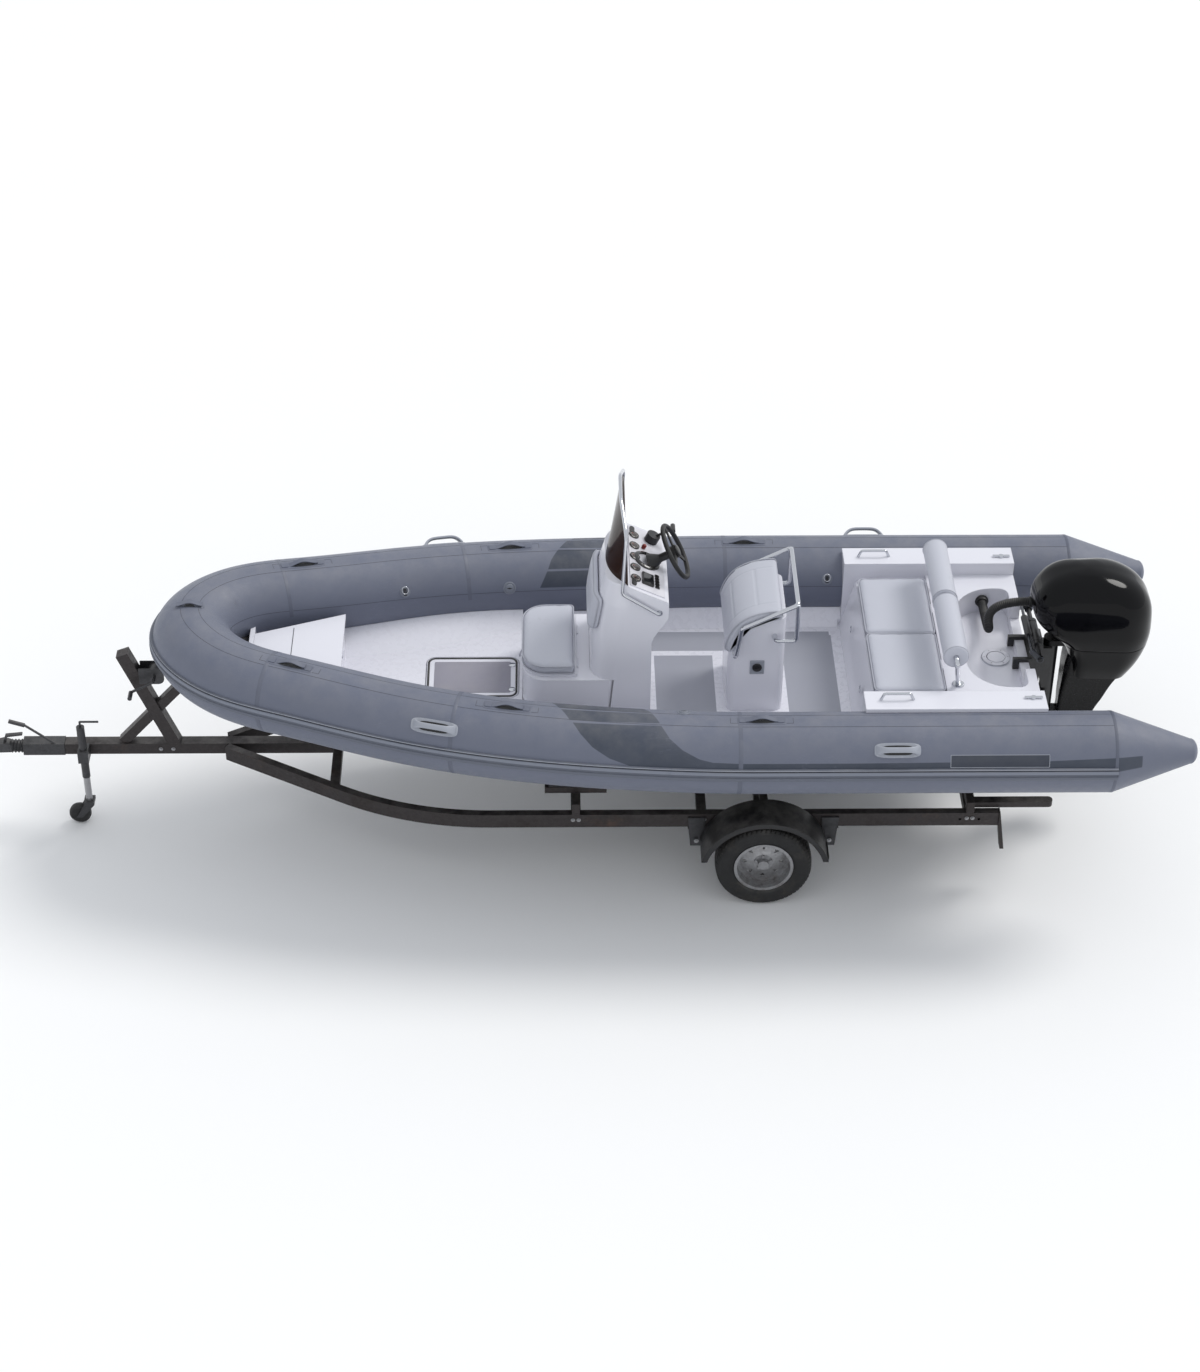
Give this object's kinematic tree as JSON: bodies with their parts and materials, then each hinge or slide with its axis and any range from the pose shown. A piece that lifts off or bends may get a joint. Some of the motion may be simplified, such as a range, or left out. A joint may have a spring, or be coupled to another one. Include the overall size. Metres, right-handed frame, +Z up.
{
  "type": "rigid inflatable boat on trailer",
  "caption": "Rigid inflatable boat with a steering console, padded seats and a tilting outboard engine, resting on its single-axle road trailer with winch stand and jockey wheel.",
  "frame": {"origin": "on the floor, at the middle of the overall length and width", "axes": "+X forward to the bow and the coupling, +Y to port, +Z up"},
  "size_m": [7.554, 2.458, 2.541],
  "materials": {
    "tube_fabric": "satin coated fabric",
    "strake_rubber": "ribbed matte",
    "black_gelcoat": "gloss",
    "white_gelcoat": "gloss",
    "cushion_vinyl": "satin vinyl",
    "black_plastic": "satin",
    "smoked_acrylic": "smoked, gloss",
    "grip_rubber": "matte",
    "stainless": "polished tube",
    "webbing": "woven",
    "handle_moulding": "satin",
    "fitting_plastic": "satin",
    "engine_gloss": "high gloss",
    "engine_paint": "gloss",
    "bracket_paint": "satin",
    "propeller_metal": "gloss",
    "hose_rubber": "ribbed",
    "trailer_steel": "dark weathered galvanised",
    "bunk_carpet": "carpet",
    "roller_rubber": "matte",
    "tyre_rubber": "matte",
    "rim_steel": "galvanised",
    "fender_plastic": "satin",
    "coupling_steel": "dark galvanised"
  },
  "bodies": {
    "rig": {"aft_moulding": "white_gelcoat", "backrest_bar": "stainless", "backrest_rolls": "cushion_vinyl", "bench_base": "white_gelcoat", "bow_locker": "white_gelcoat", "bunk_posts": "trailer_steel", "bunks": "bunk_carpet", "carry_handles": "handle_moulding", "console_backrest": "cushion_vinyl", "console_body": "white_gelcoat", "console_seat_box": "white_gelcoat", "coupling": "coupling_steel", "dash_panel": "white_gelcoat", "deck_fittings": "stainless", "deck_liner": "white_gelcoat", "engine_clamp": "bracket_paint", "fenders": "fender_plastic", "helm_hub": "black_plastic", "hull": "black_gelcoat", "jockey_outer": "trailer_steel", "keel_rollers": "roller_rubber", "leaf_springs": "trailer_steel", "light_brackets": "trailer_steel", "rigging_hose": "hose_rubber", "rubbing_strake": "strake_rubber", "screen_rail": "stainless", "seat_cushion": "cushion_vinyl", "seat_pod": "white_gelcoat", "seat_rail": "stainless", "throttle": "black_plastic", "trailer_axle": "trailer_steel", "trailer_cross_members": "trailer_steel", "trailer_drawbar": "trailer_steel", "trailer_side_rails": "trailer_steel", "tube_collar": "tube_fabric", "tube_fittings": "fitting_plastic", "webbing_handles": "webbing", "winch": "coupling_steel", "winch_post": "trailer_steel", "windscreen": "smoked_acrylic"},
    "wheel_port": {"tyre_port": "tyre_rubber", "rim_port": "rim_steel"},
    "wheel_starboard": {"tyre_starboard": "tyre_rubber", "rim_starboard": "rim_steel"},
    "seat_lid": {"console_seat_lid": "white_gelcoat", "console_seat_cushion": "cushion_vinyl"},
    "aft_bench_lid": {"bench_lid": "white_gelcoat", "bench_cushions": "cushion_vinyl"},
    "foredeck_hatch": {"deck_hatch": "white_gelcoat"},
    "helm_wheel": {"steering_wheel": "grip_rubber"},
    "engine_tilt_bracket": {"engine_swivel": "bracket_paint", "steering_rod": "stainless"},
    "steering_cylinder": {"steering_ram": "stainless"},
    "engine": {"engine_cowl": "engine_gloss", "engine_leg": "engine_paint"},
    "engine_propeller": {"propeller": "propeller_metal"},
    "jockey_tube": {"jockey_leg": "rim_steel"},
    "jockey_caster": {"jockey_fork": "trailer_steel"},
    "jockey_tyre": {"jockey_wheel": "grip_rubber"}
  },
  "joints": [
    {"name": "wheel_port_spin", "type": "hinge", "parent": "rig", "child": "wheel_port", "pos_m": [-1.163, 0.895, 0.305], "axis": [0, 1, 0], "continuous": true},
    {"name": "wheel_starboard_spin", "type": "hinge", "parent": "rig", "child": "wheel_starboard", "pos_m": [-1.163, -0.895, 0.305], "axis": [0, 1, 0], "continuous": true},
    {"name": "seat_lid_hinge", "type": "hinge", "parent": "rig", "child": "seat_lid", "pos_m": [0.0023, 0, 1.33], "axis": [0, -1, 0], "range_deg": [0, 55]},
    {"name": "bench_lid_hinge", "type": "hinge", "parent": "rig", "child": "aft_bench_lid", "pos_m": [-2.275, 0, 1.395], "axis": [0, -1, 0], "range_deg": [0, 50]},
    {"name": "foredeck_hatch_hinge", "type": "hinge", "parent": "rig", "child": "foredeck_hatch", "pos_m": [0.965, 0, 1.085], "axis": [0, 1, 0], "range_deg": [0, 95]},
    {"name": "helm_turn", "type": "hinge", "parent": "rig", "child": "helm_wheel", "pos_m": [-0.603, 0, 2.052], "axis": [-0.8829, 0, 0.4695], "range_deg": [-812, 812]},
    {"name": "engine_tilt", "type": "hinge", "parent": "rig", "child": "engine_tilt_bracket", "pos_m": [-2.893, 0, 1.41], "axis": [0, 1, 0], "range_deg": [0, 65], "deforming": ["rigging_hose"]},
    {"name": "engine_steer", "type": "hinge", "parent": "engine_tilt_bracket", "child": "engine", "pos_m": [-3.008, 0, 1.07], "axis": [0, 0, 1], "range_deg": [-30, 30], "deforming": ["rigging_hose"]},
    {"name": "steering_cylinder_stroke", "type": "slide", "parent": "engine_tilt_bracket", "child": "steering_cylinder", "axis": [0, 1, 0], "range_m": [-0.106, 0.106]},
    {"name": "propeller_spin", "type": "hinge", "parent": "engine", "child": "engine_propeller", "pos_m": [-3.344, 0, 0.48], "axis": [-1, 0, 0], "continuous": true},
    {"name": "jockey_height", "type": "slide", "parent": "rig", "child": "jockey_tube", "axis": [0, 0, 1], "range_m": [0, 0.16]},
    {"name": "jockey_swivel", "type": "hinge", "parent": "jockey_tube", "child": "jockey_caster", "pos_m": [3.187, 0.105, 0.17], "axis": [0, 0, 1], "continuous": true},
    {"name": "jockey_wheel_spin", "type": "hinge", "parent": "jockey_caster", "child": "jockey_tyre", "pos_m": [3.257, 0.105, 0.072], "axis": [0, 1, 0], "continuous": true}
  ],
  "couplings": [
    {"joint": "steering_cylinder_stroke", "follows": "engine_steer", "m_per_rad": 0.2},
    {"joint": "helm_turn", "follows": "engine_steer", "ratio": -27}
  ]
}
